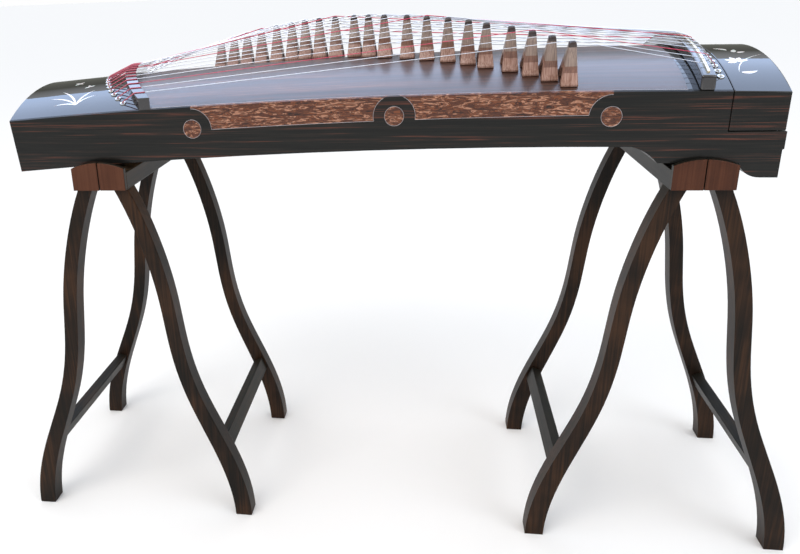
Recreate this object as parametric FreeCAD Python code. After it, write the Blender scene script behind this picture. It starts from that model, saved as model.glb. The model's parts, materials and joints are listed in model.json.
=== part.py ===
"""A 21-string guzheng on its two folding stands, one STEP file per separate piece.

Millimetres. X runs along the strings, from the tail (-X) to the head (+X). Y runs across
the strings, away from the player. Z is up. The origin is on the floor, midway between
the two stands.
"""
import FreeCAD, Part
import math
import os

V = FreeCAD.Vector
os.makedirs("parts", exist_ok=True)

# ---- sound box, driving dimensions ----
box_length = 1000.0          # tail end to head end
box_mid_x = -21.0            # middle of the box, measured from midway between the stands
mid_half_width = 159.0       # half the box's width at its middle
taper = 0.012                # growth of the half width per millimetre towards the head
arch_radius = 345.0          # arch of the top, across the strings
bow_radius = 9880.0          # slow bow of the top, along the strings
crown_x = 261.0              # highest place of the top
crown_z = 695.7
board = 9.0                  # side boards and end boards
skin = 8.0                   # soundboard, tail plate and head plate
lip = 3.0                    # side board's lip outside the soundboard's edge
tail_x = box_mid_x - box_length / 2
head_x = box_mid_x + box_length / 2
tail_edge_z = 629.0          # the tail end leans: its bottom is set in below this height
tail_lean = 0.085

# ---- underside ----
belly_radius = 8710.0        # bow of the underside
belly_x = 209.0              # highest place of the underside
belly_z = 588.0
cove_x = 305.0               # where the belly turns down into the head's foot
cove_end_x = 337.0
rest_z = 567.0               # flat that lies on the head stand
foot_corner_x = 456.0        # rounded front corner of the foot
foot_corner_r = 27.0
foot_z = 549.0
rim_z = 583.0                # the end stands out a little above this height
rim_out = 2.0
floor_z = 596.0              # floor of the tuning box
bottom_thick = 6.0
sound_holes = ((-180.0, 30.0), (170.0, 20.0))     # place along the box, radius
bottom_end_x = 300.0         # bottom board ends, foot block begins
rib_places = (-250.0, -90.0, 70.0, 230.0)         # ribs under the soundboard
rib_thick = 8.0
rib_deep = 16.0
bar_places = (-330.0, -40.0, 260.0)               # bars across the bottom board
bar_thick = 10.0
bar_deep = 11.7
bar_glue = 0.3               # bars stand this far off the curved bottom board

# ---- tuning box and its lid ----
seam = 1.0
lid_x = 414.0
lid_z = 606.0
lid_wall = 7.0
lid_end_x = head_x - 1.5
pin_face_x = 392.0
pin_block_x = 360.0
pin_rows = (612.0, 634.0)
pin_radius = 2.6
pin_out = 32.0
pin_in = 16.0
pin_head = 8.0               # square end for the tuning key: length, then its width
pin_square = 4.4
pin_spread = 139.0           # the outermost pins stand this far from the middle
pin_wind = 18.0              # the string winds on this far out from the block
lid_axis_x = head_x + 2.7
lid_axis_z = lid_z - 0.5
lid_hinge_y = (-95.0, 95.0)
lid_hinge_half = 15.0        # half the length of each lid hinge
lid_middle = 5.0             # half the length of its middle knuckle
lid_knuckle_r = 2.5
lid_pin_r = 1.2
leaf = 1.0                   # thickness of a lid hinge's leaf
running = 0.3                # gap between knuckles

# ---- strings, nuts and bridges ----
string_count = 21
fan_angle = 23.2             # the first and last strings stand this far round the arch
head_strip_x = 363.0         # soundboard ends, head plate begins
head_nut_x = 376.0
head_nut_wide = 17.0
head_nut_tall = 15.5
rod_tall = 2.0
rod_wide = 3.0
rod_x = head_nut_x + 7.0
tail_nut_wide = 16.0
tail_nut_tall = 14.0
head_grommet_x = 405.5
grommet_hole = 2.9
grommet_bore = 1.9
grommet_flange = 4.4
string_thin = 0.32           # radius of the first string, and what each next one adds
string_step = 0.02
string_clear = 0.35          # the strings pass this far above what they rest on
flange_thick = 1.4
first_bridge_x = 227.0
# distance from each bridge to the next; uneven, because each one is set by ear
bridge_steps = (22, 22, 24, 30, 22, 26, 28, 27, 32, 23, 22, 29, 26, 24, 23, 27, 28, 27, 26, 26)
bridge_base = 21.0           # along the strings
bridge_tip = 8.0
bridge_spread = 19.0         # half the spread of the feet, across the strings
bridge_first_tall = 51.5
bridge_growth = 0.55         # each bridge is this much taller than the one before
clear = 0.12                 # feet's clearance where they are nearest to the arch

# ---- inlays in the sides ----
medallions = ((-257.0, 615.5), (13.0, 629.0), (278.0, 625.0))
medallion_r = 12.3
scallop_r = 26.8             # ebony left standing round each medallion
panel_drop = 30.0            # depth of the inlaid panels below the top edge
panel_thick = 3.0

# ---- stands ----
stand_x = 392.0
crest_z = rest_z - 0.3       # top of the bars, where the box rests
bar_z = 535.0
bar_wide = 38.0
bar_gap = 0.6                # half the gap between the two bars of a stand
bar_half = 174.0
cheek = 8.0                  # cheek glued on each end of a bar, and how far it stands up
cheek_rise = 7.0
bar_top_radius = 97.0
leg_face = 164.0             # outer face of each leg, across the stand
leg_thick = 28.4
# the leg's sway: height, distance from the stand's middle, half width
leg_sway = ((535, 26, 10.7), (450, 57, 10.7), (370, 74, 10.7), (290, 83.5, 10.7),
            (220, 99.5, 11.2), (120, 139, 12.8), (0, 167.5, 13.2))
tenon = (14.0, 20.0, 20.0)
stretcher_z = 118.0
stretcher = (16.0, 24.0)
stub = (10.0, 14.0, 12.0)    # stretcher's tenons: width, height, depth
stand_axis_z = bar_z - 3.2
stand_knuckle_r = 2.9
stand_hinge_y = (-70.0, 70.0)
stand_hinge_half = 24.0      # half the length of each stand hinge
stand_middle = 8.0           # half the length of its middle knuckle
stand_leaf = 1.5             # thickness of its leaves, which reach this far from the axis
stand_leaf_reach = 28.0
stand_pin_r = 1.4

# ---- reach of the blocks that cut the pieces apart ----
far_y = 200.0
low_z = 500.0
high_z = 720.0
before_x = -600.0


# ---- helpers ----
def box(x0, x1, y0, y1, z0, z1):
    return Part.makeBox(x1 - x0, y1 - y0, z1 - z0, V(x0, y0, z0))


def slab(x0, x1, z0=low_z, z1=high_z):
    """Block between two places along the instrument, right across it."""
    return box(x0, x1, -far_y, far_y, z0, z1)


def rod(radius, start, end):
    a, b = V(*start), V(*end)
    return Part.makeCylinder(radius, (b - a).Length, a, b - a)


def face(edges):
    return Part.Face(Part.Wire(Part.__sortEdges__(edges)))


def line(a, b):
    return Part.LineSegment(V(*a), V(*b)).toShape()


def arc(a, mid, b):
    return Part.Arc(V(*a), V(*mid), V(*b)).toShape()


def outline(points):
    return Part.Face(Part.makePolygon([V(*p) for p in points] + [V(*points[0])]))


def group(shapes):
    return Part.makeCompound([s for shape in shapes for s in shape.Solids])


def save(name, shape):
    shape.exportStep("parts/" + name + ".step")
    print(name, len(shape.Solids), "solid(s)", round(shape.Volume / 1000, 1), "cm3")


# ---- the arched, slowly bowed top ----
bow_centre = V(crown_x, 0, crown_z - bow_radius)
bow_back = 4.9               # degrees of bow before the crown, and in all
bow_sweep = 6.5


def half_width(x):
    return mid_half_width + taper * (x - box_mid_x)


def under(depth):
    """Everything below the surface that lies depth millimetres inside the top."""
    reach, low = 176.0, crown_z - 190.0
    r = arch_radius - depth
    z0 = crown_z - arch_radius
    edge_z = z0 + math.sqrt(r * r - reach * reach)
    section = face([
        line((crown_x, -reach, low), (crown_x, -reach, edge_z)),
        arc((crown_x, -reach, edge_z), (crown_x, 0, z0 + r), (crown_x, reach, edge_z)),
        line((crown_x, reach, edge_z), (crown_x, reach, low)),
        line((crown_x, reach, low), (crown_x, -reach, low))])
    section.rotate(bow_centre, V(0, 1, 0), -bow_back)
    return section.revolve(bow_centre, V(0, 1, 0), bow_sweep)


def seat(shape, x, angle):
    """Moves a shape made at the origin, +Z up, to the top's surface at x and at an
    angle round the arch, so that its Z stands square to the surface."""
    placed = shape.copy()
    placed.rotate(V(0, 0, 0), V(1, 0, 0), -angle)
    a = math.radians(angle)
    placed.translate(V(crown_x, arch_radius * math.sin(a),
                       crown_z - arch_radius + arch_radius * math.cos(a)))
    reach = bow_radius - arch_radius * (1 - math.cos(a))
    placed.rotate(bow_centre, V(0, 1, 0), math.degrees(math.asin((x - crown_x) / reach)))
    return placed


def above(x, angle, height):
    """Point height millimetres above the top's surface."""
    return seat(Part.Vertex(0, 0, height), x, angle).Vertexes[0].Point


def wedge(inset, x0=tail_x - 20, x1=head_x + 10):
    """Upright block between the two tapering side planes, inset from them."""
    a, b = half_width(x0) - inset, half_width(x1) - inset
    plan = outline([(x0, -a, low_z), (x1, -b, low_z), (x1, b, low_z), (x0, a, low_z)])
    return plan.extrude(V(0, 0, high_z - low_z + 20))


def tail_end_x(z):
    return tail_x + tail_lean * (tail_edge_z - z)


def belly(x):
    return belly_z - belly_radius + math.sqrt(belly_radius ** 2 - (x - belly_x) ** 2)


def side_outline():
    """The box seen from the front: bowed belly, cove, flat, foot and the lid's notch."""
    low_x = tail_end_x(belly(tail_x + 6))
    low = (low_x, 0, belly(low_x))
    mid_x = (low_x + cove_x) / 2
    cove = (cove_x, 0, belly(cove_x))
    corner_x = foot_corner_x - math.sqrt(
        foot_corner_r ** 2 - (foot_z + foot_corner_r - rest_z) ** 2)
    end_x = head_x - rim_out
    bend = foot_corner_r * math.sin(math.radians(50))
    drop = foot_corner_r * math.cos(math.radians(50))
    points = [(end_x, 0, foot_z), (end_x, 0, rim_z), (head_x, 0, rim_z + 1),
              (head_x, 0, lid_z - seam), (lid_x - seam, 0, lid_z - seam),
              (lid_x - seam, 0, high_z), (tail_end_x(high_z), 0, high_z), low]
    edges = [arc(low, (mid_x, 0, belly(mid_x)), cove),
             arc(cove, (cove_x + 15, 0, rest_z + 14.5), (cove_end_x, 0, rest_z)),
             line((cove_end_x, 0, rest_z), (corner_x, 0, rest_z)),
             arc((corner_x, 0, rest_z),
                 (foot_corner_x - bend, 0, foot_z + foot_corner_r - drop),
                 (foot_corner_x, 0, foot_z)),
             line((foot_corner_x, 0, foot_z), points[0])]
    edges += [line(a, b) for a, b in zip(points, points[1:])]
    return face(edges)


under_top = under(0)
under_skin = under(skin)
full_outline = side_outline()
box_prism = full_outline.extrude(V(0, 2 * far_y, 0))
box_prism.translate(V(0, -far_y, 0))
inside = wedge(board)


def on_front(shape):
    """Turns a shape made against the plane y = 0 onto the tapering front side."""
    turned = shape.copy()
    turned.rotate(V(box_mid_x, 0, 0), V(0, 0, 1), -math.degrees(math.atan(taper)))
    turned.translate(V(0, -mid_half_width, 0))
    return turned


def to_back(shape):
    return shape.mirror(V(0, 0, 0), V(0, 1, 0))


# ---- skins: soundboard, tail plate, head plate ----
def nut_x(y):
    """The tail nut's S curve."""
    t = y / 157.0
    return -384.0 - 30.0 * t - 35.0 * t ** 3


def tail_grommet_x(y):
    t = y / 157.0
    return nut_x(y) - 41.0 + 24.0 * t * t


def s_band(left, right):
    """Upright block between two curves parallel to the tail nut."""
    ys = [-176.0 + 44.0 * i for i in range(9)]
    edges = []
    for offset in (left, right):
        curve = Part.BSplineCurve()
        curve.interpolate([V(nut_x(y) + offset, y, low_z) for y in ys])
        edges.append(curve.toShape())
    for y in (ys[0], ys[-1]):
        edges.append(line((nut_x(y) + left, y, low_z), (nut_x(y) + right, y, low_z)))
    return face(edges).extrude(V(0, 0, high_z - low_z + 20))


angles = [-fan_angle + 2 * fan_angle * i / (string_count - 1) for i in range(string_count)]
skin_layer = box_prism.common(under_top).common(wedge(lip)).cut(under_skin)


def arch_y(angle, height=0.0):
    return (arch_radius + height) * math.sin(math.radians(angle))


def holes(place):
    return [seat(Part.makeCylinder(grommet_hole, skin + 6, V(0, 0, -skin - 3)), place(a), a)
            for a in angles]


def tail_place(angle):
    return tail_grommet_x(arch_y(angle))


def head_place(angle):
    return head_grommet_x


tail_part = skin_layer.common(s_band(-260, 0))
sound_part = skin_layer.common(s_band(0, 900)).common(slab(before_x, head_strip_x))
head_part = skin_layer.common(slab(head_strip_x, lid_x))
save("tail_plate", tail_part.cut(Part.makeCompound(holes(tail_place))))
save("soundboard", sound_part)
save("head_plate", head_part.cut(Part.makeCompound(holes(head_place))))

# ---- side boards with their scalloped inlays ----
side_blank = on_front(full_outline.extrude(V(0, board, 0)))
rabbet = wedge(lip).cut(under_skin)


def inlay_region(thick):
    """The two scalloped panels between the medallions, thick millimetres deep."""
    x0, x1 = medallions[0][0], medallions[-1][0]
    drop = panel_drop + arch_radius - math.sqrt(arch_radius ** 2 - mid_half_width ** 2)
    mid_x = (x0 + x1) / 2

    def sill(x):
        return crown_z - drop - (x - crown_x) ** 2 / (2 * bow_radius)
    edges = [arc((x0, 0, sill(x0)), (mid_x, 0, sill(mid_x)), (x1, 0, sill(x1))),
             line((x1, 0, sill(x1)), (x1, 0, high_z)), line((x1, 0, high_z), (x0, 0, high_z)),
             line((x0, 0, high_z), (x0, 0, sill(x0)))]
    region = face(edges).extrude(V(0, thick, 0))
    for x, z in medallions:
        region = region.cut(rod(scallop_r, (x, -5, z), (x, thick + 5, z)))
    return region


recess = on_front(inlay_region(panel_thick))
sockets = [on_front(rod(medallion_r, (x, -5, z), (x, panel_thick, z))) for x, z in medallions]
front_side = side_blank.common(under_top).cut(rabbet).cut(recess)
front_side = front_side.cut(Part.makeCompound(sockets))
front_inlays = recess.common(under_top)
front_medallions = group([on_front(rod(medallion_r, (x, 0, z), (x, panel_thick, z)))
                          for x, z in medallions])
save("front_side_board", front_side)
save("back_side_board", to_back(front_side))
save("side_inlays", group([front_inlays, to_back(front_inlays)]))
save("side_medallions", group([front_medallions, to_back(front_medallions)]))

# ---- bottom, ends and blocks inside ----
lifted = box_prism.copy()
lifted.translate(V(0, 0, bottom_thick))
tail_slant = slab(tail_x, tail_x + board)
tail_slant.rotate(V(tail_x, 0, tail_edge_z), V(0, 1, 0), -math.degrees(math.atan(tail_lean)))
bottom = box_prism.cut(lifted).common(inside)
bottom = bottom.common(slab(before_x, bottom_end_x, low_z, floor_z)).cut(tail_slant)
for x, radius in sound_holes:
    bottom = bottom.cut(rod(radius, (x, 0, low_z), (x, 0, floor_z)))
tail_end = box_prism.common(tail_slant).common(inside).common(under_skin)
end_board_x = head_x - rim_out - board
foot_block = box_prism.common(inside).common(slab(bottom_end_x, end_board_x, low_z, floor_z))
head_end = box_prism.common(inside).common(slab(end_board_x, head_x + 1, low_z, lid_z - seam))
pin_block = slab(pin_block_x, pin_face_x, floor_z).common(inside)
pin_block = pin_block.common(under_skin)
save("bottom_board", bottom)
save("tail_end_board", tail_end)
save("foot_block", foot_block)
save("head_end_board", head_end)

under_rib = under(skin + rib_deep)
ribs = [slab(x, x + rib_thick).common(inside).common(under_skin).cut(under_rib)
        for x in rib_places]
bars = []
for x in bar_places:
    z = belly(x) + bottom_thick + bar_glue
    bars.append(slab(x, x + bar_thick, z, z + bar_deep).common(inside))
save("inner_braces", group(ribs + bars))

# ---- tuning pins ----
pin_y = [pin_spread * angle / fan_angle for angle in angles]


def pin_height(index):
    return pin_rows[index % 2]


def tuning_pin(index):
    y, z, half = pin_y[index], pin_height(index), pin_square / 2
    end_x = pin_face_x + pin_out
    shank = rod(pin_radius, (pin_face_x - pin_in, y, z), (end_x, y, z))
    return shank.fuse(box(end_x, end_x + pin_head, y - half, y + half, z - half, z + half))


pins = [tuning_pin(i) for i in range(string_count)]
save("tuning_pins", group(pins))
save("pin_block", pin_block.cut(Part.makeCompound(pins)))

# ---- nuts ----
above_top = under(-tail_nut_tall).cut(under_top)
tail_nut = above_top.common(s_band(-tail_nut_wide / 2, tail_nut_wide / 2)).common(wedge(1))
save("tail_nut", tail_nut)
nut_space = slab(head_nut_x, head_nut_x + head_nut_wide)
under_nut = under(-head_nut_tall)
save("head_nut", under_nut.cut(under_top).common(nut_space).common(wedge(1)))
rod_space = slab(rod_x, rod_x + rod_wide)
save("head_saddle_rod", under(-head_nut_tall - rod_tall).cut(under_nut).common(rod_space)
     .common(wedge(7)))


# ---- grommets ----
def grommet():
    sleeve = Part.makeCylinder(grommet_hole, skin, V(0, 0, -skin))
    ring = sleeve.fuse(Part.makeCylinder(grommet_flange, flange_thick))
    return ring.cut(Part.makeCylinder(grommet_bore, 40, V(0, 0, -20)))


save("tail_grommets", group([seat(grommet(), tail_place(a), a) for a in angles]))
save("head_grommets", group([seat(grommet(), head_place(a), a) for a in angles]))

# ---- bridges ----
bridge_x = [first_bridge_x]
for step in bridge_steps:
    bridge_x.append(bridge_x[-1] - step)


def bridge_tall(index):
    return bridge_first_tall + bridge_growth * index


def bridge(tall):
    """An A-shaped bridge on two feet, narrowing to its tip along the strings too."""
    foot, tip, shoulder = bridge_spread, 4.0, tall - 4.0
    waist_y, waist_z = 8.5, tall * 0.5
    arch_half, arch_top = 9.5, tall * 0.32
    front = face([
        line((0, -foot, clear), (0, -foot, 3)),
        arc((0, -foot, 3), (0, -waist_y - 1, waist_z - 4), (0, -tip, shoulder)),
        arc((0, -tip, shoulder), (0, 0, tall), (0, tip, shoulder)),
        arc((0, tip, shoulder), (0, waist_y + 1, waist_z - 4), (0, foot, 3)),
        line((0, foot, 3), (0, foot, clear)),
        line((0, foot, clear), (0, arch_half, clear)),
        arc((0, arch_half, clear), (0, 0, arch_top), (0, -arch_half, clear)),
        line((0, -arch_half, clear), (0, -foot, clear))])
    blank = front.extrude(V(bridge_base, 0, 0))
    blank.translate(V(-bridge_base / 2, 0, 0))
    side = face([
        line((-bridge_base / 2, 0, 0), (bridge_base / 2, 0, 0)),
        line((bridge_base / 2, 0, 0), (bridge_tip / 2, 0, tall - 3)),
        line((bridge_tip / 2, 0, tall - 3), (bridge_tip / 2, 0, tall + 3)),
        line((bridge_tip / 2, 0, tall + 3), (-bridge_tip / 2, 0, tall + 3)),
        line((-bridge_tip / 2, 0, tall + 3), (-bridge_tip / 2, 0, tall - 3)),
        line((-bridge_tip / 2, 0, tall - 3), (-bridge_base / 2, 0, 0))])
    wedge_block = side.extrude(V(0, 60, 0))
    wedge_block.translate(V(0, -30, 0))
    return blank.common(wedge_block)


for i, (x, angle) in enumerate(zip(bridge_x, angles)):
    save("bridge_%02d" % (i + 1), seat(bridge(bridge_tall(i)), x, angle))


# ---- strings ----
def string(index):
    """One string: tail grommet, tail nut, bridge, saddle rod, head grommet, tuning pin."""
    angle, radius = angles[index], string_thin + string_step * index
    nut, rise = nut_x(arch_y(angle, tail_nut_tall)), string_clear + radius
    tip_x, tip_z = bridge_x[index], bridge_tall(index) + rise
    stops = [above(tail_place(angle), angle, -skin - 2),
             above(tail_place(angle), angle, flange_thick + 1),
             above(nut - tail_nut_wide / 2, angle, tail_nut_tall + rise),
             above(nut + tail_nut_wide / 2, angle, tail_nut_tall + rise),
             above(tip_x - bridge_tip / 2, angle, tip_z),
             above(tip_x + bridge_tip / 2, angle, tip_z),
             above(rod_x + rod_wide / 2, angle, head_nut_tall + rod_tall + rise),
             above(head_nut_x + head_nut_wide, angle, head_nut_tall + rise),
             above(head_place(angle), angle, flange_thick + 1),
             above(head_place(angle), angle, -skin - 2),
             V(pin_face_x + pin_wind, pin_y[index], pin_height(index) + pin_radius + rise)]
    path = Part.Wire([Part.LineSegment(a, b).toShape() for a, b in zip(stops, stops[1:])])
    ring = Part.Wire(Part.makeCircle(radius, stops[0], stops[1] - stops[0]))
    return path.makePipeShell([ring], True, False, 1)


save("strings", group([string(i) for i in range(string_count)]))

# ---- lid of the tuning box ----
lid_hollow = wedge(lid_wall).common(under(lid_wall))
lid_hollow = lid_hollow.common(slab(lid_x - 5, lid_end_x - lid_wall))
lid = under_top.common(wedge(0)).common(slab(lid_x, lid_end_x, lid_z)).cut(lid_hollow)
save("lid", lid)


def lid_hinge(y, lid_leaf):
    """One leaf of a butt hinge centred on y: the lid's with its middle knuckle, or the
    box's with its two outer knuckles and the pin."""
    x, z, half = lid_axis_x, lid_axis_z, lid_hinge_half
    knuckle = rod(lid_knuckle_r, (x, y - half, z), (x, y + half, z))
    if lid_leaf:
        m = lid_middle
        barrel = knuckle.common(box(x - 4, x + 4, y - m, y + m, z - 4, z + 4))
        plate = box(lid_end_x, lid_end_x + leaf, y - half, y + half, z + 3, z + 19)
        tab = box(lid_end_x, x, y - m, y + m, z + 1.2, z + 1.2 + leaf)
        link = box(lid_end_x, lid_end_x + leaf, y - m, y + m, z + 1.2, z + 3.2)
        bored = rod(lid_pin_r + 0.05, (x, y - m - 1, z), (x, y + m + 1, z))
        return plate.fuse([barrel, tab, link]).cut(bored)
    m = lid_middle + running
    gap = box(x - 4, x + 4, y - m, y + m, z - 4, z + 4)
    plate = box(head_x, head_x + leaf, y - half, y + half, z - 19, z - 2)
    tab = box(head_x, x, y - half, y + half, z - 2.4, z - 1.2).cut(gap)
    pin = rod(lid_pin_r, (x, y - half, z), (x, y + half, z))
    return knuckle.cut(gap).fuse([plate, tab, pin])


save("lid_hinge_fixed_leaves", group([lid_hinge(y, False) for y in lid_hinge_y]))
save("lid_hinge_lid_leaves", group([lid_hinge(y, True) for y in lid_hinge_y]))


# ---- stands ----
def sway_curve(side):
    curve = Part.BSplineCurve()
    curve.interpolate([V(out + side * half, 0, z) for z, out, half in leg_sway])
    return curve


def sway_at(height):
    """Distance from the stand's middle, and lean in degrees, of the leg at a height."""
    curve = sway_curve(0)
    u = curve.parameter(V(140, 0, height))
    point, way = curve.value(u), curve.tangent(u)[0]
    return point.x, math.degrees(math.atan2(way.x, -way.z))


def leg(side_y):
    outer, inner = sway_curve(1), sway_curve(-1)
    top, foot = leg_sway[0], leg_sway[-1]
    shape = face([outer.toShape(), inner.toShape(),
                  line((top[1] - top[2], 0, top[0]), (top[1] + top[2], 0, top[0])),
                  line((foot[1] - foot[2], 0, foot[0]), (foot[1] + foot[2], 0, foot[0]))])
    blank = shape.extrude(V(0, leg_thick, 0))
    blank.translate(V(0, -leg_face, 0))
    peg = box(top[1] - tenon[0] / 2, top[1] + tenon[0] / 2,
              -leg_face + (leg_thick - tenon[1]) / 2, -leg_face + (leg_thick + tenon[1]) / 2,
              top[0] - 1, top[0] + tenon[2])
    whole = blank.fuse(peg).removeSplitter()
    return whole if side_y < 0 else to_back(whole)


def stretcher_bar():
    out, lean = sway_at(stretcher_z)
    reach = leg_face - leg_thick
    wide, tall = stretcher
    bar = box(-wide / 2, wide / 2, -reach, reach, -tall / 2, tall / 2)
    ends = box(-stub[0] / 2, stub[0] / 2, -reach - stub[2], reach + stub[2],
               -stub[1] / 2, stub[1] / 2)
    bar = bar.fuse(ends).removeSplitter()
    bar.rotate(V(0, 0, 0), V(0, 1, 0), -lean)
    bar.translate(V(out, 0, stretcher_z))
    return bar


def bar_length(y0, y1, rise=0.0):
    """Part of a top bar between two places across the stand, its arched top raised."""
    z0 = crest_z + rise - bar_top_radius

    def crown(x):
        return z0 + math.sqrt(bar_top_radius ** 2 - x * x)
    a, b = bar_gap, bar_wide
    mid = (a + b) / 2
    section = face([line((a, y0, bar_z), (b, y0, bar_z)),
                    line((b, y0, bar_z), (b, y0, crown(b))),
                    arc((b, y0, crown(b)), (mid, y0, crown(mid)), (a, y0, crown(a))),
                    line((a, y0, crown(a)), (a, y0, bar_z))])
    return section.extrude(V(0, y1 - y0, 0))


def top_bar(pegs):
    """The bar with its leg sockets, and the cheeks that keep the sound box on it."""
    end = bar_half - cheek
    end_cheek = bar_length(-bar_half, -end, cheek_rise)
    return group([bar_length(-end, end).cut(pegs), end_cheek, to_back(end_cheek)])


def stand_hinge(y, fixed):
    """One leaf of the hinge under the bars; the fixed leaf carries the pin."""
    z, half, r = stand_axis_z, stand_hinge_half, stand_pin_r
    knuckle = rod(stand_knuckle_r, (0, y - half, z), (0, y + half, z))
    m = stand_middle + running if fixed else stand_middle
    middle = box(-5, 5, y - m, y + m, z - 5, z + 5)
    plate = box(3.4, stand_leaf_reach, y - half, y + half, bar_z - stand_leaf, bar_z)
    tab = box(1.2, 3.6, y - half, y + half, bar_z - stand_leaf, bar_z - 0.3)
    if fixed:
        pin = rod(r, (0, y - half, z), (0, y + half, z))
        return plate.fuse([tab.cut(middle), knuckle.cut(middle), pin])
    bored = rod(r + 0.05, (0, y - half / 2, z), (0, y + half / 2, z))
    return plate.fuse([tab.common(middle), knuckle.common(middle)]).cut(bored)


def half_stand(fixed):
    """Pieces of one frame, made on the +X side of the stand's middle."""
    legs = [leg(-1), leg(1)]
    cross = stretcher_bar()
    bar = top_bar(Part.makeCompound(legs))
    return {"bar": bar, "legs": group([part.cut(cross) for part in legs]), "stretcher": cross,
            "hinge_leaves": group([stand_hinge(y, fixed) for y in stand_hinge_y])}


def frame_at(name, x, side, fixed):
    for piece, shape in half_stand(fixed).items():
        placed = shape if side > 0 else shape.mirror(V(0, 0, 0), V(1, 0, 0))
        placed = placed.copy()
        placed.translate(V(x, 0, 0))
        save(name + "_" + piece, placed)


frame_at("head_stand_outer", stand_x, 1, True)
frame_at("head_stand_inner", stand_x, -1, False)
frame_at("tail_stand_outer", -stand_x, -1, True)
frame_at("tail_stand_inner", -stand_x, 1, False)
print(len(os.listdir("parts")), "files")
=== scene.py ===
# %% [markdown]
# # A guzheng on its two folding stands
# The wooden boards, nuts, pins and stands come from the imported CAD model, which is loaded
# here as a fixed frame. This lesson gives every surface its finish and models the pieces
# whose shape is finer than a plain board: the bridges, strings, silk wraps, eyelets, silver
# lines and mother-of-pearl.

# %% Load the frame
import json
import math

import bpy
from mathutils import Matrix, Vector

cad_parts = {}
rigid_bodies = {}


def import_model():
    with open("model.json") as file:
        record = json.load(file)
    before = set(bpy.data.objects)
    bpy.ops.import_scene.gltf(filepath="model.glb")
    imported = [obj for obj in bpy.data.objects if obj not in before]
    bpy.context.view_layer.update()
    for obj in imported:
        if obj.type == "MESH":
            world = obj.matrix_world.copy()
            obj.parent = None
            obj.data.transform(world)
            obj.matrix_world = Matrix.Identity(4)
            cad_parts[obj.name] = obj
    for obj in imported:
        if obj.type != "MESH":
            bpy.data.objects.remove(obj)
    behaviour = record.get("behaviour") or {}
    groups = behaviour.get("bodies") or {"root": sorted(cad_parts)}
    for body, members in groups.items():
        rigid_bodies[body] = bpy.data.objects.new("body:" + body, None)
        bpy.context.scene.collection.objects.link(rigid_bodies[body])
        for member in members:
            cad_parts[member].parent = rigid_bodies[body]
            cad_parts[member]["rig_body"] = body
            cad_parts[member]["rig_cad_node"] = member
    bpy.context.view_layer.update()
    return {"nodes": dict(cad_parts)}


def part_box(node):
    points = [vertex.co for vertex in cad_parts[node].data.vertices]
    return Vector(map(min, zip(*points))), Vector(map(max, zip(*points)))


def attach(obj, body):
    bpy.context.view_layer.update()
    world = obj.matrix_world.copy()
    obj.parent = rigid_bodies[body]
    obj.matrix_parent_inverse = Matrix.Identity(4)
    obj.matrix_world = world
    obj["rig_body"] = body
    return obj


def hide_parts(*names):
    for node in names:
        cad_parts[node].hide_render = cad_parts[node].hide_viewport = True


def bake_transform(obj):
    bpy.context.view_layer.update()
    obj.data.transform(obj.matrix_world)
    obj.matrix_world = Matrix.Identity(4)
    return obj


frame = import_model()
bpy.ops.object.select_all(action="DESELECT")

# %% [markdown]
# ## Colours and nodes
# Colours are written as sRGB hex values, the way paint and wood samples are matched, and
# turned to linear light once. A material is a small tree of nodes, so one function adds
# a node with its settings and its links.

# %% Colour and node helpers
MM = 0.001


def linear(code):
    """Linear RGBA of an sRGB hex colour."""
    parts = [int(code[i:i + 2], 16) / 255 for i in (1, 3, 5)]
    return [c / 12.92 if c <= 0.04045 else ((c + 0.055) / 1.055) ** 2.4 for c in parts] + [1.0]


def add(tree, kind, sockets=None, **settings):
    """Adds a node. A socket's value is another node's output, which is linked, or a number."""
    node = tree.nodes.new(kind)
    for name, value in settings.items():
        setattr(node, name, value)
    for name, value in (sockets or {}).items():
        if isinstance(value, bpy.types.NodeSocket):
            tree.links.new(value, node.inputs[name])
        else:
            node.inputs[name].default_value = value
    return node


def new_material(name, **values):
    """A material with its shader, ready for patterns. Even values go on the shader itself."""
    material = bpy.data.materials.new(name)
    material.use_nodes = True
    shader = material.node_tree.nodes["Principled BSDF"]
    for socket, value in values.items():
        shader.inputs[socket.replace("_", " ")].default_value = value
    return material, material.node_tree, shader


def colour_steps(tree, factor, steps):
    """A colour ramp from (place, hex colour) pairs."""
    ramp = add(tree, "ShaderNodeValToRGB", {"Fac": factor})
    elements = ramp.color_ramp.elements
    while len(elements) < len(steps):
        elements.new(0.5)
    for element, (place, code) in zip(elements, steps):
        element.position = place
        element.color = linear(code)
    return ramp.outputs["Color"]


def object_place(tree):
    return add(tree, "ShaderNodeTexCoord").outputs["Object"]


def grain(tree, axis, along, across):
    """Object coordinates squeezed so that a pattern of size 1 is long along the grain:
    along millimetres on the given axis, across millimetres on the other two."""
    sizes = [along if letter == axis else across for letter in "XYZ"]
    mapping = add(tree, "ShaderNodeMapping", {
        "Vector": object_place(tree), "Scale": [1 / (size * MM) for size in sizes]})
    return mapping.outputs["Vector"]


def bump(tree, shader, height, depth):
    """Links a height pattern to the shader as relief, depth millimetres deep."""
    node = add(tree, "ShaderNodeBump", {"Height": height, "Distance": depth * MM,
                                        "Strength": 0.6})
    tree.links.new(node.outputs["Normal"], shader.inputs["Normal"])


# %% [markdown]
# ## Macassar ebony
# The side boards, the ends and the lid's upright faces are macassar ebony: near-black
# heartwood with narrow reddish brown streaks that run the whole length, sanded fine under a
# thin lacquer. Two stretched noises make the streaks, a broad one for the bands and a fine
# one for the lines, and the lacquer is the shader's weak coat, so the wood stays dark over a
# white floor.

# %% Ebony


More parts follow.
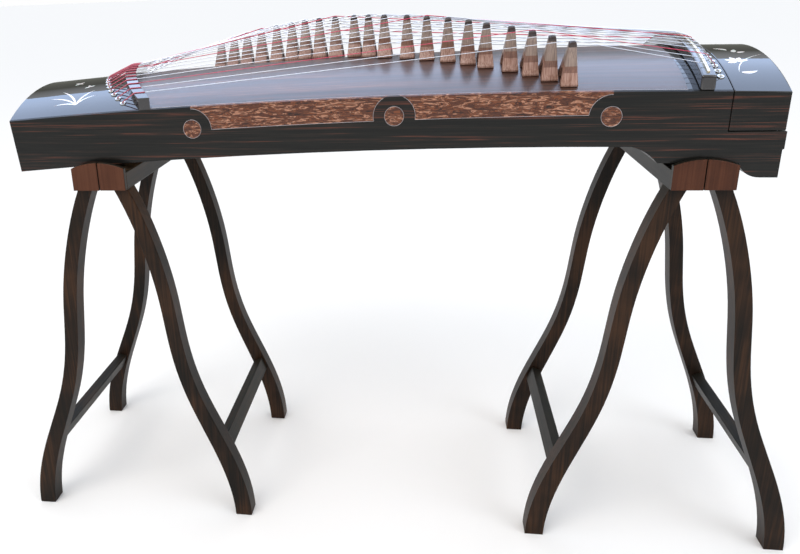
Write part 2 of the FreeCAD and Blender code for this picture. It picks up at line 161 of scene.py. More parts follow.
def ebony():
    material, tree, shader = new_material("Macassar_ebony_lacquered", Roughness=0.38,
                                          Coat_Weight=0.22, Coat_Roughness=0.12,
                                          Specular_IOR_Level=0.12)
    bands = add(tree, "ShaderNodeTexNoise", {"Vector": grain(tree, "X", 420.0, 6.0),
                                             "Scale": 1.0, "Detail": 4.0, "Roughness": 0.62,
                                             "Distortion": 0.35}).outputs["Fac"]
    fine = add(tree, "ShaderNodeTexNoise", {"Vector": grain(tree, "X", 160.0, 1.5),
                                            "Scale": 1.0, "Detail": 3.0}).outputs["Fac"]
    mixed = add(tree, "ShaderNodeMath", {0: bands, 1: fine}, operation="MULTIPLY")
    tone = colour_steps(tree, mixed.outputs[0], [
        (0.17, "#141413"), (0.26, "#1b1b19"), (0.32, "#2a211d"), (0.38, "#553127"),
        (0.47, "#1a1715")])
    tree.links.new(tone, shader.inputs["Base Color"])
    bump(tree, shader, fine, 0.05)
    return material


EBONY = ebony()
print("made", EBONY.name)

# %% [markdown]
# ## Toasted paulownia
# The soundboard is paulownia, a light open-grained wood that is scorched and brushed, so
# the soft early wood sinks and the grain stands up as fine ridges. It is dark brown with a
# satin surface, so low light slides along the ridges.

# %% Soundboard wood


def paulownia():
    material, tree, shader = new_material("Toasted_paulownia_satin", Roughness=0.4,
                                          Coat_Weight=0.7, Coat_Roughness=0.24)
    bands = add(tree, "ShaderNodeTexNoise", {"Vector": grain(tree, "X", 900.0, 14.0),
                                             "Scale": 1.0, "Detail": 3.0,
                                             "Distortion": 0.4}).outputs["Fac"]
    fine = add(tree, "ShaderNodeTexNoise", {"Vector": grain(tree, "X", 260.0, 1.9),
                                            "Scale": 1.0, "Detail": 5.0,
                                            "Roughness": 0.7}).outputs["Fac"]
    both = add(tree, "ShaderNodeMath", {0: bands, 1: fine}, operation="MULTIPLY")
    tone = colour_steps(tree, both.outputs[0], [
        (0.14, "#1c100c"), (0.24, "#3a2219"), (0.33, "#553528"), (0.42, "#75503d")])
    tree.links.new(tone, shader.inputs["Base Color"])
    rough = add(tree, "ShaderNodeMapRange", {"Value": fine, "From Min": 0.3, "From Max": 0.7,
                                             "To Min": 0.3, "To Max": 0.55})
    tree.links.new(rough.outputs["Result"], shader.inputs["Roughness"])
    bump(tree, shader, fine, 0.16)
    return material


def bare_paulownia():
    material, tree, shader = new_material("Bare_paulownia", Roughness=0.7)
    rings = add(tree, "ShaderNodeTexNoise", {"Vector": grain(tree, "X", 300.0, 5.0),
                                             "Scale": 1.0, "Detail": 4.0}).outputs["Fac"]
    tone = colour_steps(tree, rings, [(0.35, "#8d6b4a"), (0.5, "#a98660"), (0.65, "#c3a179")])
    tree.links.new(tone, shader.inputs["Base Color"])
    bump(tree, shader, rings, 0.08)
    return material


PAULOWNIA = paulownia()
BARE_PAULOWNIA = bare_paulownia()
print("made", PAULOWNIA.name, BARE_PAULOWNIA.name)

# %% [markdown]
# ## Black lacquer
# The tail plate, head plate and the lid's top are polished black lacquer over hardwood. The
# base reflects nothing itself: the coat is the mirror, with only a faint orange-peel ripple
# that wavers the edges of reflections.

# %% Lacquer


def lacquer():
    material, tree, shader = new_material("Black_lacquer_polished", Roughness=0.3,
                                          Specular_IOR_Level=0.0, Coat_Weight=1.0,
                                          Coat_Roughness=0.008, Coat_IOR=1.6)
    place = object_place(tree)
    cloud = add(tree, "ShaderNodeTexNoise", {"Vector": place, "Scale": 38.0, "Detail": 2.0})
    tone = colour_steps(tree, cloud.outputs["Fac"], [(0.3, "#08080a"), (0.7, "#131114")])
    tree.links.new(tone, shader.inputs["Base Color"])
    ripple = add(tree, "ShaderNodeTexNoise", {"Vector": place, "Scale": 120.0})
    node = add(tree, "ShaderNodeBump", {"Height": ripple.outputs["Fac"],
                                        "Distance": 0.05 * MM, "Strength": 0.35})
    tree.links.new(node.outputs["Normal"], shader.inputs["Coat Normal"])
    return material


LACQUER = lacquer()
print("made", LACQUER.name)

# %% [markdown]
# ## Figured burl
# The scalloped panels and the round medallions are slices of a burl whose grain shows as
# twisted flecks, dark brown and orange-brown with pinkish lights. One noise, stretched along
# the panel and warped on itself, is passed through alternating dark and light steps, which
# draws the broken contour lines of a burl.

# %% Burl


def burl(name, along, across):
    material, tree, shader = new_material(name, Roughness=0.36, Coat_Weight=0.35,
                                          Coat_Roughness=0.12, Specular_IOR_Level=0.3)
    flecks = add(tree, "ShaderNodeTexNoise", {"Vector": grain(tree, "X", along, across),
                                              "Scale": 1.0, "Detail": 2.5,
                                              "Distortion": 1.5}).outputs["Fac"]
    tone = colour_steps(tree, flecks, [
        (0.28, "#170b07"), (0.38, "#5a2c16"), (0.44, "#1e0d08"), (0.50, "#7c4222"),
        (0.55, "#33180c"), (0.61, "#b98468"), (0.68, "#4a2413")])
    tree.links.new(tone, shader.inputs["Base Color"])
    bump(tree, shader, flecks, 0.05)
    return material


BURL = burl("Figured_burl_panel", 20.0, 4.0)
ROUND_BURL = burl("Figured_burl_medallion", 13.0, 4.0)
print("made", BURL.name, ROUND_BURL.name)

# %% [markdown]
# ## Stained walnut
# The stands are a plain hardwood with a dark walnut stain, nearly matt. Legs have their
# grain upright and the bars and stretchers across, so there are two versions, and a third,
# redder one is for the cheeks on the bars' ends. The stain is thinner where it is worn.

# %% Stand woods


def stained_wood(name, axis, dark, middle, light):
    material, tree, shader = new_material(name, Roughness=0.45, Coat_Weight=0.08,
                                          Coat_Roughness=0.25, Specular_IOR_Level=0.1)
    streaks = add(tree, "ShaderNodeTexNoise", {"Vector": grain(tree, axis, 130.0, 3.2),
                                               "Scale": 1.0, "Detail": 5.0,
                                               "Roughness": 0.6,
                                               "Distortion": 0.3}).outputs["Fac"]
    worn = add(tree, "ShaderNodeTexNoise", {"Vector": object_place(tree), "Scale": 11.0,
                                            "Detail": 3.0}).outputs["Fac"]
    even = add(tree, "ShaderNodeMix", {"Factor": 0.5, "A": streaks, "B": worn})
    tone = colour_steps(tree, even.outputs["Result"], [
        (0.40, dark), (0.50, middle), (0.61, light)])
    tree.links.new(tone, shader.inputs["Base Color"])
    bump(tree, shader, streaks, 0.1)
    return material


LEG_WOOD = stained_wood("Walnut_stain_upright", "Z", "#15110d", "#261a12", "#3b2719")
BAR_WOOD = stained_wood("Walnut_stain_across", "Y", "#161511", "#211e18", "#2f241a")
END_WOOD = stained_wood("Walnut_stain_end_cheek", "Z", "#40251a", "#4c2c1e", "#573525")
print("made", LEG_WOOD.name, BAR_WOOD.name, END_WOOD.name)

# %% [markdown]
# ## Rosewood, beech and small metals
# The bridges are oiled rosewood with ebony tips, darker in a band under the lip and rubbed
# grey above it. The pin block inside is beech. Metal parts are small, so each gets one tone
# with a fine cloud of wear.

# %% Other finishes


def plain_wood(name, axis, steps, along, across, **values):
    material, tree, shader = new_material(name, **values)
    streaks = add(tree, "ShaderNodeTexNoise", {"Vector": grain(tree, axis, along, across),
                                               "Scale": 1.0, "Detail": 5.0,
                                               "Roughness": 0.65}).outputs["Fac"]
    tree.links.new(colour_steps(tree, streaks, steps), shader.inputs["Base Color"])
    bump(tree, shader, streaks, 0.06)
    return material


def metal(name, tint, rough):
    material, tree, shader = new_material(name, Metallic=1.0, Roughness=rough)
    wear = add(tree, "ShaderNodeTexNoise", {"Vector": object_place(tree), "Scale": 900.0,
                                            "Detail": 2.0}).outputs["Fac"]
    light = linear(tint)
    tone = add(tree, "ShaderNodeMix", {"Factor": wear, 6: [c * 0.8 for c in light[:3]] + [1.0],
                                       7: light}, data_type="RGBA")
    tree.links.new(tone.outputs[2], shader.inputs["Base Color"])
    return material


ROSEWOOD = plain_wood("Rosewood_oiled", "Z", [
    (0.3, "#6b4638"), (0.45, "#8f6a59"), (0.58, "#a9867a"), (0.72, "#b99c8e")],
    34.0, 1.3, Roughness=0.42, Coat_Weight=0.2, Coat_Roughness=0.25)
ROSEWOOD_WAIST = plain_wood("Rosewood_dark_band", "Z", [(0.35, "#5c3b2e"), (0.65, "#845c4b")],
                            34.0, 1.3, Roughness=0.42, Coat_Weight=0.2)
ROSEWOOD_UPPER = plain_wood("Rosewood_rubbed_grey", "Z", [(0.35, "#6f5d54"), (0.65, "#9a867b")],
                            34.0, 1.3, Roughness=0.4, Coat_Weight=0.2)
EBONY_TIP = plain_wood("Ebony_bridge_tip", "Z", [(0.35, "#1b100d"), (0.65, "#3a2620")],
                       20.0, 1.0, Roughness=0.35, Coat_Weight=0.3)
BEECH = plain_wood("Beech_pin_block", "X", [(0.35, "#8d6746"), (0.65, "#b08a62")],
                   60.0, 1.6, Roughness=0.55)
NUT_WOOD = plain_wood("Black_hardwood_polished", "Y", [(0.35, "#0b090a"), (0.65, "#1d1718")],
                      60.0, 1.5, Roughness=0.2, Coat_Weight=1.0, Coat_Roughness=0.06)
ROD_BRASS = metal("Brass_saddle_rod", "#e6d9bd", 0.3)
NICKEL = metal("Nickel_eyelet", "#dcdcda", 0.22)
HINGE_BRASS = metal("Brass_satin", "#9a7c47", 0.4)
STEEL = metal("Steel_turned", "#b9babd", 0.28)
STRING = metal("Wound_steel_string", "#e3e5ea", 0.34)
SILVER = metal("Silver_inlay_line", "#bdb7ba", 0.4)
RED_STRING, _, _ = new_material("Red_nylon_string", Roughness=0.35,
                                Base_Color=linear("#d23c5e"))
print("made the other finishes")

# %% [markdown]
# ## Twisted silk and mother-of-pearl
# The silk at the string's tail end is laid in turns: a slanting wave gives each turn its relief,
# and its dark and light steps are painted shade in the grooves and painted light on the crests.
# Mother-of-pearl is thin shell: bright, with pale green, pink and blue clouds that shift
# over a few millimetres, under the same lacquer as the plates.

# %% Silk and pearl


def silk():
    material, tree, shader = new_material("Red_silk_wrap", Roughness=0.6,
                                          Sheen_Weight=0.4)
    turns = add(tree, "ShaderNodeTexWave", {"Vector": object_place(tree), "Scale": 260.0},
                bands_direction="DIAGONAL")
    # the wave's dark and light steps are painted shade between the turns and painted light on
    # them
    tree.links.new(colour_steps(tree, turns.outputs["Fac"], [
        (0.2, "#8e1f33"), (0.8, "#d9647c")]), shader.inputs["Base Color"])
    bump(tree, shader, turns.outputs["Fac"], 0.2)
    return material


def pearl():
    material, tree, shader = new_material("Mother_of_pearl", Roughness=0.25,
                                          Coat_Weight=1.0, Coat_Roughness=0.05)
    cloud = add(tree, "ShaderNodeTexNoise", {"Vector": object_place(tree), "Scale": 160.0,
                                             "Detail": 3.0, "Distortion": 1.2})
    tree.links.new(colour_steps(tree, cloud.outputs["Fac"], [
        (0.32, "#b8d9d6"), (0.44, "#f2f4ee"), (0.54, "#f3dbe0"), (0.66, "#dff0f6")]),
        shader.inputs["Base Color"])
    return material


SILK = silk()
PEARL = pearl()
print("made", SILK.name, PEARL.name)

# %% [markdown]
# ## Finishes on the CAD pieces
# Boards and fittings whose CAD shape is already right keep it, and only take their finish.

# %% Assign finishes
FINISHES = {"soundboard": PAULOWNIA, "tail_plate": LACQUER, "head_plate": LACQUER,
            "side_inlays": BURL, "side_medallions": ROUND_BURL,
            "bottom_board": BARE_PAULOWNIA, "inner_braces": BARE_PAULOWNIA,
            "foot_block": EBONY, "pin_block": BEECH, "tuning_pins": STEEL,
            "lid_hinge_fixed_leaves": HINGE_BRASS, "lid_hinge_lid_leaves": HINGE_BRASS}
for node, piece in frame["nodes"].items():
    finish = HINGE_BRASS if node.endswith("hinge_leaves") else FINISHES.get(node)
    if finish:
        piece.data.materials.clear()
        piece.data.materials.append(finish)
print("finished", len(FINISHES), "kinds of node")

# %% [markdown]
# ## Boards with softened edges
# Nobody leaves a knife edge on a lacquered board: each edge is eased by about a millimetre,
# and the thin bright line of light along it is what makes wood look solid. Each of these
# pieces starts as a copy of its CAD shape, is cleaned of its loose triangles, and gets a
# bevel modifier that is then applied. Two kinds show a second finish on the faces that look
# one way: the bars on their end cheeks, and the lid, which is lacquered only on top.

# %% Ease the edges


def body_of_node(node):
    return frame["nodes"][node]["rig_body"]


def only(piece):
    """Makes one piece the only selected and the active one."""
    bpy.ops.object.select_all(action="DESELECT")
    piece.select_set(True)
    bpy.context.view_layer.objects.active = piece


def apply_modifier(piece, name, kind, **settings):
    modifier = piece.modifiers.new(name, kind)
    for setting, value in settings.items():
        setattr(modifier, setting, value)
    only(piece)
    bpy.ops.object.modifier_apply(modifier=name)


def softened(node, material, ease=0.9, steps=2, flat=1.0):
    """A copy of a CAD node with its edges eased, standing for that node."""
    piece = frame["nodes"][node].copy()
    piece.data = piece.data.copy()
    piece.name = node + "_eased"
    piece.parent = None
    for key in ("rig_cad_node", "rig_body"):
        del piece[key]
    bpy.context.scene.collection.objects.link(piece)
    only(piece)
    bpy.ops.mesh.customdata_custom_splitnormals_clear()
    bpy.ops.object.mode_set(mode="EDIT")
    bpy.ops.mesh.select_all(action="SELECT")
    bpy.ops.mesh.remove_doubles(threshold=0.01 * MM)
    bpy.ops.mesh.dissolve_limited(angle_limit=math.radians(flat))
    bpy.ops.object.mode_set(mode="OBJECT")
    bpy.ops.object.shade_smooth_by_angle(angle=math.radians(35))
    apply_modifier(piece, "eased", "BEVEL", width=ease * MM, segments=steps,
                   limit_method="ANGLE", angle_limit=math.radians(35))
    bpy.ops.object.shade_smooth_by_angle(angle=math.radians(40))
    piece.data.materials.clear()
    piece.data.materials.append(material)
    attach(piece, body_of_node(node))
    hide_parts(node)
    return piece


def faced(piece, material, facing):
    """Gives a second material to the faces whose normal passes the test."""
    piece.data.materials.append(material)
    for polygon in piece.data.polygons:
        if facing(polygon.normal):
            polygon.material_index = 1


for node in frame["nodes"]:
    if node.endswith("_legs"):
        softened(node, LEG_WOOD, ease=1.6, flat=0.6)
    elif node.endswith("_stretcher"):
        softened(node, BAR_WOOD, ease=1.2, flat=0.6)
    elif node.endswith("_bar"):
        faced(softened(node, BAR_WOOD, ease=1.0, flat=0.6), END_WOOD,
              lambda normal: abs(normal.y) > 0.6)
for node in ("front_side_board", "back_side_board", "tail_end_board", "head_end_board"):
    softened(node, EBONY, ease=0.6, flat=0.3)
faced(softened("lid", LACQUER, ease=1.2, flat=0.3), EBONY,
      lambda normal: abs(normal.x) > 0.8 or abs(normal.y) > 0.8)
softened("tail_nut", NUT_WOOD, ease=3.0, steps=4, flat=0.3)
softened("head_nut", NUT_WOOD, ease=2.2, steps=4, flat=0.3)
softened("head_saddle_rod", ROD_BRASS, ease=0.7, steps=3, flat=0.3)
print("eased the boards")

# %% [markdown]
# ## The arched top as a formula
# The top is an arch across the strings, bowed slowly along them. Everything that stands on
# it, bridges, strings, eyelets and inlays, is placed by one matrix: a place along the box
# and an angle round the arch.

# %% Seats on the top
ARCH = 345 * MM
BOW = 9880 * MM
CROWN_X = 261 * MM
CROWN_Z = 695.7 * MM
STRINGS = 21
FAN = math.radians(23.2)
ANGLES = [FAN * (2 * i / (STRINGS - 1) - 1) for i in range(STRINGS)]


def seat(x, angle):
    """Matrix that stands a piece made at the origin on the top, square to it."""
    centre = Matrix.Translation((CROWN_X, 0, CROWN_Z - BOW))
    lean = math.asin((x - CROWN_X) / (BOW - ARCH * (1 - math.cos(angle))))
    on_arch = Matrix.Translation((CROWN_X, ARCH * math.sin(angle),
                                  CROWN_Z - ARCH + ARCH * math.cos(angle)))
    turned = centre @ Matrix.Rotation(lean, 4, "Y") @ centre.inverted()
    return turned @ on_arch @ Matrix.Rotation(-angle, 4, "X")


def above(x, angle, height):
    return seat(x, angle) @ Vector((0, 0, height))


def finish_piece(piece, material, body, *nodes):
    piece.data.materials.clear()
    piece.data.materials.append(material)
    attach(piece, body)
    if nodes:
        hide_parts(*nodes)
    return piece


def copied(piece, name, matrix):
    """A copy with its own mesh, and its place in that mesh."""
    made = piece.copy()
    made.data = piece.data.copy()
    made.name = name
    bpy.context.scene.collection.objects.link(made)
    made.data.transform(matrix)
    return made


def joined(pieces, name):
    """Several pieces as one object."""
    bpy.ops.object.select_all(action="DESELECT")
    for piece in pieces:
        piece.select_set(True)
    bpy.context.view_layer.objects.active = pieces[0]
    bpy.ops.object.join()
    pieces[0].name = name
    return pieces[0]


print("seat of the middle string at the crown", above(CROWN_X, 0, 0))

# %% [markdown]
# ## Movable bridges
# A bridge is a tall wedge on two feet. From the player's side it tapers to a rounded tip,
# and across the strings its flanks sweep in from the feet to a lip and then up to the tip.
# It is shaped once: a block is cut into levels, each level is scaled to its width, an arch
# is cut out between the feet, and the edges are rounded. Copies are stretched to each
# bridge's own height.

# %% Shape one bridge
BRIDGE_BASE = 21 * MM
BRIDGE_TIP = 8 * MM
BRIDGE_SPREAD = 19 * MM
BRIDGE_CLEAR = 0.12 * MM
FIRST_TALL = 51.5 * MM
GROWTH = 0.55 * MM
# level as a share of the height, and half width across the strings as a share of the spread
FLANK = ((0.05, 1.0), (0.16, 0.80), (0.30, 0.65), (0.42, 0.575), (0.455, 0.565),
         (0.49, 0.52), (0.60, 0.40), (0.75, 0.29), (0.88, 0.235))
# the wood's bands of tone, each up to a share of the height
BANDS = ((ROSEWOOD, 0.36), (ROSEWOOD_WAIST, 0.455), (ROSEWOOD_UPPER, 0.885), (EBONY_TIP, 1.0))
ARCH_HALF = 9.5 * MM
ARCH_TOP = 0.32
TIP_ROUND = 3.2 * MM
CORNER_ROUND = 0.6 * MM


def select_level(piece, height, reach):
    """Selects the vertices within reach of a height, in edit mode."""
    bpy.ops.object.mode_set(mode="EDIT")
    bpy.ops.mesh.select_all(action="DESELECT")
    bpy.ops.object.mode_set(mode="OBJECT")
    for vertex in piece.data.vertices:
        vertex.select = abs(vertex.co.z - height) < reach
    bpy.ops.object.mode_set(mode="EDIT")


def shaped_bridge(tall):
    bpy.ops.object.select_all(action="DESELECT")
    bpy.ops.mesh.primitive_cube_add(size=1)
    piece = bpy.context.object
    piece.data.transform(Matrix.Translation((0, 0, tall / 2)) @ Matrix.Diagonal(
        (BRIDGE_BASE, 2 * BRIDGE_SPREAD, tall, 1)))
    bpy.ops.object.mode_set(mode="EDIT")
    bpy.ops.mesh.select_mode(type="VERT")
    for share, _ in FLANK:
        bpy.ops.mesh.select_all(action="SELECT")
        bpy.ops.mesh.bisect(plane_co=(0, 0, share * tall), plane_no=(0, 0, 1))
    for share, wide in FLANK + ((1.0, 0.215),):
        along = 1 - share * (1 - BRIDGE_TIP / BRIDGE_BASE)
        select_level(piece, share * tall, 0.01 * MM)
        bpy.ops.transform.resize(value=(along, wide, 1))
    select_level(piece, tall, 0.01 * MM)
    bpy.ops.mesh.bevel(offset=TIP_ROUND, segments=5)
    bpy.ops.object.mode_set(mode="OBJECT")
    apply_modifier(piece, "corners", "BEVEL", width=CORNER_ROUND, segments=2,
                   limit_method="ANGLE", angle_limit=math.radians(60))
    bpy.ops.mesh.primitive_cylinder_add(vertices=40, radius=ARCH_HALF, depth=0.1,
                                        rotation=(0, math.radians(90), 0))
    cutter = bpy.context.object
    cutter.scale = (ARCH_TOP * tall / ARCH_HALF, 1, 1)
    apply_modifier(piece, "arch", "BOOLEAN", object=cutter, operation="DIFFERENCE",
                   solver="EXACT")
    bpy.data.objects.remove(cutter)
    only(piece)
    bpy.ops.object.shade_smooth_by_angle(angle=math.radians(28))
    piece.data.materials.clear()
    for material, _ in BANDS:
        piece.data.materials.append(material)
    for polygon in piece.data.polygons:
        share = polygon.center.z / tall
        polygon.material_index = sum(share > top for _, top in BANDS[:-1])
    return piece


pattern_bridge = shaped_bridge(FIRST_TALL)
bridge_x = []
for i, angle in enumerate(ANGLES):
    node = "bridge_%02d" % (i + 1)
    low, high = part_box(node)
    bridge_x.append((low.x + high.x) / 2)
    stretch = Matrix.Diagonal((1, 1, (FIRST_TALL + GROWTH * i - BRIDGE_CLEAR) / FIRST_TALL, 1))
    lift = Matrix.Translation((0, 0, BRIDGE_CLEAR))
    piece = copied(pattern_bridge, node + "_shaped", seat(bridge_x[-1], angle) @ lift @ stretch)
    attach(piece, node)
    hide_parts(node)
bpy.data.objects.remove(pattern_bridge)
print("bridges from", round(bridge_x[-1], 3), "to", round(bridge_x[0], 3))

# %% [markdown]
# ## Strings
# Each string is held all the way: out of its tail eyelet, over the S-curved tail nut, over
# its bridge, over the brass rod on the head nut and down through the head eyelet to its
# tuning pin. It is built in two lengths that meet on the bridge: a curve with a round
# bevel, turned to mesh, with its runs to and from the bridge divided into ten. The third
# of every five is red, which is how a player finds the octaves.

# %% String places
NUT_TALL = 14 * MM
NUT_CREST = 12 * MM                  # the nut is 16 mm wide, less its two rounded edges
HEAD_NUT_TALL = 15.5 * MM
ROD_TALL = 2 * MM
STRING_CLEAR = 0.1 * MM
HEAD_EYELET_X = 405.5 * MM
EYELET_RIM = 1.4 * MM
EYELET_EXIT = EYELET_RIM + 1 * MM    # the string turns this far above the plate
SKIN = 8 * MM
head_nut_low, head_nut_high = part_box("head_nut")
rod_low, rod_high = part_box("head_saddle_rod")
_, pin_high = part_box("tuning_pins")
PIN_WIND = pin_high.x - 22 * MM      # the string winds on this far in from the pin's end
PIN_SPREAD = 139 * MM
PIN_ROWS = (612 * MM, 634 * MM)
PIN_RADIUS = 2.6 * MM


NUT_HALF = 157 * MM
NUT_MIDDLE = -384 * MM


def tail_nut_x(y):
    """The tail nut's S curve."""
    t = y / NUT_HALF
    return NUT_MIDDLE - (30 * t + 35 * t ** 3) * MM


def tail_eyelet_x(angle):
    y = ARCH * math.sin(angle)
    t = y / NUT_HALF
    return tail_nut_x(y) - (41 - 24 * t * t) * MM


def tube(name, points, radius, sides=3):
    """A round mesh along straight runs between points."""
    line = bpy.data.curves.new(name, "CURVE")
    line.dimensions = "3D"
    line.bevel_depth = radius
    line.bevel_resolution = sides
    line.use_fill_caps = True
    spline = line.splines.new("POLY")
    spline.points.add(len(points) - 1)
    for point, place in zip(spline.points, points):
        point.co = (*place, 1)
    piece = bpy.data.objects.new(name, line)
    bpy.context.scene.collection.objects.link(piece)
    only(piece)
    bpy.ops.object.convert(target="MESH")
    piece = bpy.context.object
    bpy.ops.object.shade_smooth()
    return piece


def divided(a, b, count):
    return [a.lerp(b, i / count) for i in range(count + 1)]


# %% Make the strings
PARTS = 10
STRING_THIN = 0.36 * MM
STRING_STEP = 0.022 * MM
WRAP_END = 3 * MM
WRAP_THICK = 0.4 * MM
wraps = []
for i, angle in enumerate(ANGLES):
    radius = STRING_THIN + STRING_STEP * i
    rise = radius + STRING_CLEAR
    nut = tail_nut_x((ARCH + NUT_TALL) * math.sin(angle))
    nut_back = above(nut - NUT_CREST / 2, angle, NUT_TALL + rise)
    nut_front = above(nut + NUT_CREST / 2, angle, NUT_TALL + rise)
    tail_eyelet = above(tail_eyelet_x(angle), angle, EYELET_EXIT)
    tip = above(bridge_x[i], angle, FIRST_TALL + GROWTH * i + rise)
    rod = above((rod_low.x + rod_high.x) / 2, angle, HEAD_NUT_TALL + ROD_TALL + rise)
    nut_edge = above(head_nut_high.x, angle, HEAD_NUT_TALL + rise)
    head_eyelet = above(HEAD_EYELET_X, angle, EYELET_EXIT)
    below = above(HEAD_EYELET_X, angle, -SKIN - 2 * MM)
    pin = Vector((PIN_WIND, PIN_SPREAD * angle / FAN, PIN_ROWS[i % 2] + PIN_RADIUS + rise))
    material = RED_STRING if i % 5 == 2 else STRING
    tail_part = tube("string_%02d_tail" % (i + 1), [
        above(tail_eyelet_x(angle), angle, -SKIN), tail_eyelet, nut_back]
        + divided(nut_front, tip, PARTS), radius)
    head_part = tube("string_%02d_head" % (i + 1), divided(tip, rod, PARTS)
                     + [nut_edge, head_eyelet, below, pin], radius)
    for part in (tail_part, head_part):
        part.data.materials.clear()
        part.data.materials.append(material)
        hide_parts("strings")
    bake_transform(tail_part)
    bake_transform(head_part)
    run = (tip - nut_front).normalized()
    wraps.append(tube("wrap_%02d" % (i + 1), [
        above(tail_eyelet_x(angle), angle, -SKIN / 2), tail_eyelet, nut_back, nut_front,
        nut_front + run * WRAP_END], radius + WRAP_THICK))
finish_piece(joined(wraps, "red_silk_wraps"), SILK, "sound_box")
print("strings", STRINGS)

# %% [markdown]
# ## Eyelets
# A nickel eyelet lines every hole where a string goes through a plate. One is turned by
# spinning its profile about its axis, as on a lathe, and copied to its forty-two places.

# %% Turn the eyelets
EYELET_BORE = 1.9 * MM
EYELET_SLEEVE = 2.85 * MM
EYELET_FLANGE = 4.4 * MM
EYELET_PROFILE = ((EYELET_SLEEVE, -SKIN), (EYELET_SLEEVE, 0), (EYELET_FLANGE, 0.05 * MM),
                  (EYELET_FLANGE + 0.1 * MM, EYELET_RIM * 0.45),
                  (EYELET_FLANGE - 0.5 * MM, EYELET_RIM),
                  (EYELET_BORE + 0.7 * MM, EYELET_RIM), (EYELET_BORE, EYELET_RIM * 0.5),
                  (EYELET_BORE, -SKIN))


def turned(name, profile, steps):
    """Spins a profile of (radius, height) points about Z."""
    mesh = bpy.data.meshes.new(name)
    points = [(r, 0, z) for r, z in profile]
    edges = [(i, (i + 1) % len(points)) for i in range(len(points))]
    mesh.from_pydata(points, edges, [])
    piece = bpy.data.objects.new(name, mesh)
    bpy.context.scene.collection.objects.link(piece)
    only(piece)
    bpy.ops.object.mode_set(mode="EDIT")
    bpy.ops.mesh.select_all(action="SELECT")
    bpy.ops.mesh.spin(steps=steps, angle=2 * math.pi, center=(0, 0, 0), axis=(0, 0, 1))
    bpy.ops.mesh.select_all(action="SELECT")
    bpy.ops.mesh.remove_doubles(threshold=0.01 * MM)
    bpy.ops.mesh.normals_make_consistent(inside=False)
    bpy.ops.object.mode_set(mode="OBJECT")
    bpy.ops.object.shade_smooth_by_angle(angle=math.radians(50))
    return piece


eyelet = turned("eyelet", EYELET_PROFILE, 18)
for name, place in (("tail_grommets", tail_eyelet_x),
                    ("head_grommets", lambda angle: HEAD_EYELET_X)):
    copies = [copied(eyelet, "eyelet_copy", seat(place(angle), angle)) for angle in ANGLES]
    finish_piece(joined(copies, name + "_turned"), NICKEL, "sound_box", name)
bpy.data.objects.remove(eyelet)
print("eyelets", 2 * STRINGS)

# %% [markdown]
# ## Silver lines and rings
# A thin bright line borders each burl panel, one rings each medallion, and one runs where
# the soundboard meets the side. The lines are let into the wood and stand proud by a hair,
# so they are thin tubes sunk to their middle.

# %% Inlay lines
BOX_MID_X = -21 * MM
HALF_WIDTH = 159 * MM
TAPER = 0.012
LIP = 3 * MM
MEDALLIONS = ((-257 * MM, 615.5 * MM), (13 * MM, 629 * MM), (278 * MM, 625 * MM))
SCALLOP = 26.8 * MM
MEDALLION_R = 12.3 * MM
PANEL_DROP = 30 * MM
SOUNDBOARD_END = head_nut_low.x - 13 * MM
LINE = 0.26 * MM


def side_y(x):
    return -(HALF_WIDTH + TAPER * (x - BOX_MID_X))


def edge_z(x, inset=0.0):
    """Height of the top surface above the side plane."""
    angle = math.asin((side_y(x) + inset) / ARCH)
    return above(x, angle, 0).z


def sill_z(x):
    drop = PANEL_DROP + ARCH - math.sqrt(ARCH ** 2 - HALF_WIDTH ** 2)
    return CROWN_Z - drop - (x - CROWN_X) ** 2 / (2 * BOW)


def scallop(centre, side, low_z, high_z, steps=14):
    """Points round a medallion from the sill up to the edge, on one side of it."""
    x, z = centre
    a = math.asin(max(-1, min(1, (low_z - z) / SCALLOP)))
    b = math.asin(max(-1, min(1, (high_z - z) / SCALLOP)))
    turns = [a + (b - a) * i / steps for i in range(steps + 1)]
    return [(x + side * SCALLOP * math.cos(t), z + SCALLOP * math.sin(t)) for t in turns]


def panel_line(left, right):
    """The lower border of one burl panel, with its two scallops."""
    first = scallop(left, 1, sill_z(left[0] + SCALLOP), edge_z(left[0] + SCALLOP) - 1 * MM)
    last = scallop(right, -1, sill_z(right[0] - SCALLOP), edge_z(right[0] - SCALLOP) - 1 * MM)
    x0, x1 = first[0][0], last[0][0]
    middle = [(x0 + (x1 - x0) * i / 20, sill_z(x0 + (x1 - x0) * i / 20)) for i in range(1, 20)]
    return [Vector((x, side_y(x), z)) for x, z in first[::-1] + middle + last]


def seam_line(x0, x1, inset, count=30):
    xs = [x0 + (x1 - x0) * i / count for i in range(count + 1)]
    return [Vector((x, side_y(x) + inset, edge_z(x, inset))) for x in xs]


MIRROR = Matrix.Diagonal((1, -1, 1, 1))
lines = [tube("panel_line", panel_line(a, b), LINE) for a, b in zip(MEDALLIONS, MEDALLIONS[1:])]
lines.append(tube("seam_line", seam_line(tail_nut_x(-HALF_WIDTH), SOUNDBOARD_END, LIP), LINE))
for x, z in MEDALLIONS:
    bpy.ops.object.select_all(action="DESELECT")
    bpy.ops.mesh.primitive_torus_add(major_radius=MEDALLION_R, minor_radius=LINE,
                                     major_segments=48, minor_segments=8)
    ring = bpy.context.object
    turn = Matrix.Rotation(-math.atan(TAPER), 4, "Z") @ Matrix.Rotation(math.radians(90), 4, "X")
    ring.data.transform(Matrix.Translation((x, side_y(x), z)) @ turn)
    bpy.ops.object.shade_smooth()
    lines.append(ring)
for line in list(lines):
    other = copied(line, line.name + "_back", MIRROR)
    other.data.flip_normals()
    lines.append(other)
finish_piece(joined(lines, "silver_lines"), SILVER, "sound_box")
print("silver lines done")

# %% [markdown]
# ## Mother-of-pearl flowers
# Petals and leaves are thin pieces of shell let flush into the lacquer. Each is a small
# grid, drawn out to a leaf and laid on the arch. The two sprays are this lesson's own plain
# design.

# %% Lay petals on the arch
SHELL = 0.12 * MM


